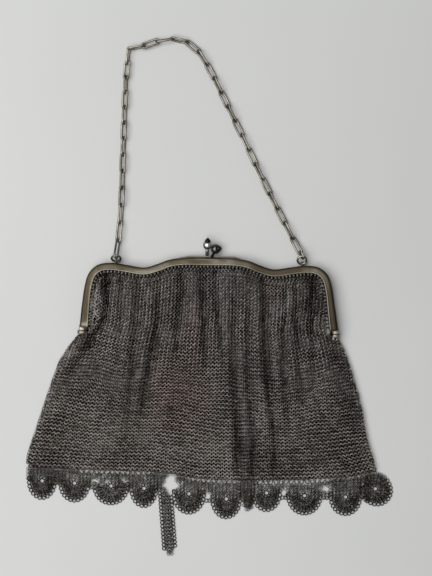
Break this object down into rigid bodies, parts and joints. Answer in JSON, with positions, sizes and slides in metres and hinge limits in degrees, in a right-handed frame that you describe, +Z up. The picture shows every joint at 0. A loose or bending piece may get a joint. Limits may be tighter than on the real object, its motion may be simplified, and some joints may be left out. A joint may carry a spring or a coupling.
{
  "type": "metal mesh purse",
  "caption": "Antique ring-mesh purse with an arched hinged frame, snap clasp, carrying chain and a torn scalloped border, lying flat.",
  "frame": {"origin": "on the table, under the middle of the purse with its chain laid out", "axes": "+Z up from the table, +Y from the bag to the chain, +X to the right seen from the front"},
  "size_m": [0.2116, 0.3002, 0.0087],
  "materials": {
    "frame_silver": "tarnished silver, worn bright on the inner lip",
    "chain_silver": "dull silver wire",
    "bright_silver": "polished silver",
    "dark_stone": "polished black stone",
    "ring_mesh": "darkened silver rings"
  },
  "bodies": {
    "root": {"border_band_left": "ring_mesh", "border_band_right": "ring_mesh", "chain_link_01": "chain_silver", "chain_link_02": "chain_silver", "chain_link_03": "chain_silver", "chain_link_04": "chain_silver", "chain_link_05": "chain_silver", "chain_link_06": "chain_silver", "chain_link_07": "chain_silver", "chain_link_08": "chain_silver", "chain_link_09": "chain_silver", "chain_link_10": "chain_silver", "chain_link_11": "chain_silver", "chain_link_12": "chain_silver", "chain_link_13": "chain_silver", "chain_link_14": "chain_silver", "chain_link_15": "chain_silver", "chain_link_16": "chain_silver", "chain_link_17": "chain_silver", "chain_link_18": "chain_silver", "chain_link_19": "chain_silver", "chain_link_20": "chain_silver", "chain_link_21": "chain_silver", "chain_link_22": "chain_silver", "chain_link_23": "chain_silver", "chain_link_24": "chain_silver", "chain_link_25": "chain_silver", "chain_link_26": "chain_silver", "chain_link_27": "chain_silver", "chain_link_28": "chain_silver", "chain_link_29": "chain_silver", "chain_link_30": "chain_silver", "chain_link_31": "chain_silver", "chain_link_32": "chain_silver", "chain_ring_left": "chain_silver", "chain_ring_right": "chain_silver", "clasp_knob_back": "bright_silver", "clasp_knob_front": "bright_silver", "clasp_plate": "frame_silver", "clasp_stone_back": "dark_stone", "clasp_stone_front": "dark_stone", "frame_back": "frame_silver", "frame_front": "frame_silver", "hinge_rivet_left": "bright_silver", "hinge_rivet_right": "bright_silver", "joining_link": "chain_silver", "mesh_bag": "ring_mesh", "scallop_01": "ring_mesh", "scallop_02": "ring_mesh", "scallop_03": "ring_mesh", "scallop_04": "ring_mesh", "scallop_05": "ring_mesh", "scallop_06": "ring_mesh", "scallop_07": "ring_mesh", "scallop_08": "ring_mesh", "scallop_09": "ring_mesh", "scallop_10": "ring_mesh", "scallop_11": "ring_mesh", "torn_strip": "ring_mesh"}
  },
  "joints": []
}
